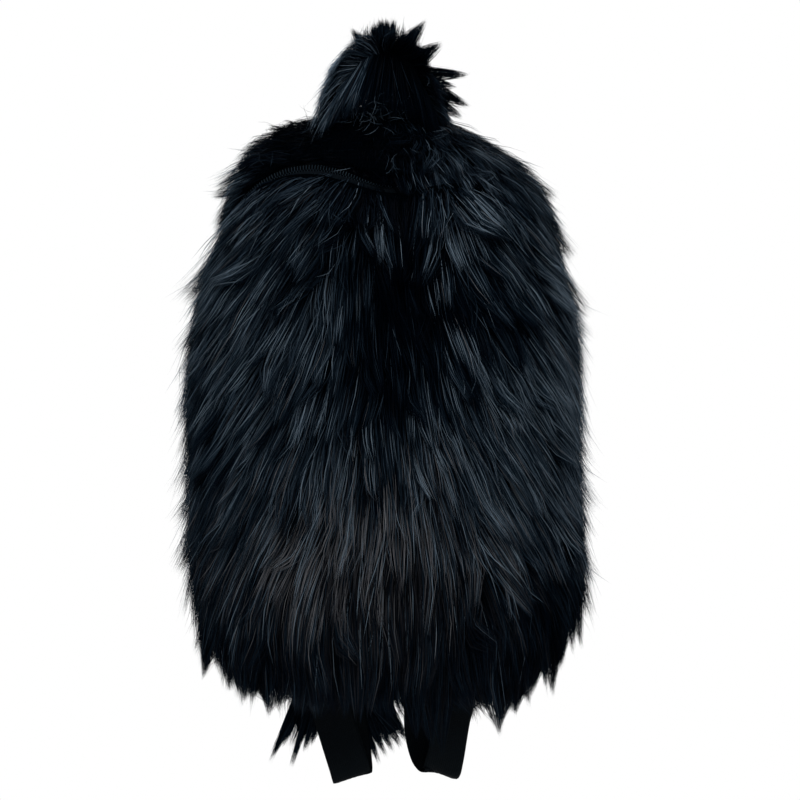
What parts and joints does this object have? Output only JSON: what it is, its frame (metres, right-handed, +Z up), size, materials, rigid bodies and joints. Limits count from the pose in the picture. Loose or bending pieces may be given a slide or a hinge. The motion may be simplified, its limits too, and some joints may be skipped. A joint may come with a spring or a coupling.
{
  "type": "furry backpack",
  "caption": "Rounded backpack covered in long faux fur, with a furry grab handle, a zip across the top, padded shoulder straps and webbing loops below.",
  "frame": {"origin": "underside of the grab handle's loop, where it rests on its hook", "axes": "+Z up, front of the bag towards -Y, +X to the right of someone facing the front"},
  "size_m": [0.3126, 0.2348, 0.576],
  "materials": {
    "fur": "long glossy pile",
    "cloth": "matt plain weave",
    "webbing": "ribbed polyester webbing",
    "zip": "satin nylon coil"
  },
  "bodies": {
    "root": {"bag_wall": "cloth", "back_panel": "cloth", "zip": "zip", "zip_slider": "zip", "front_fur": "fur", "top_fur": "fur", "grab_handle": "webbing", "handle_fur": "fur", "strap_left": "cloth", "strap_fur_left": "fur", "webbing_left": "webbing", "strap_right": "cloth", "strap_fur_right": "fur", "webbing_right": "webbing"}
  },
  "joints": []
}
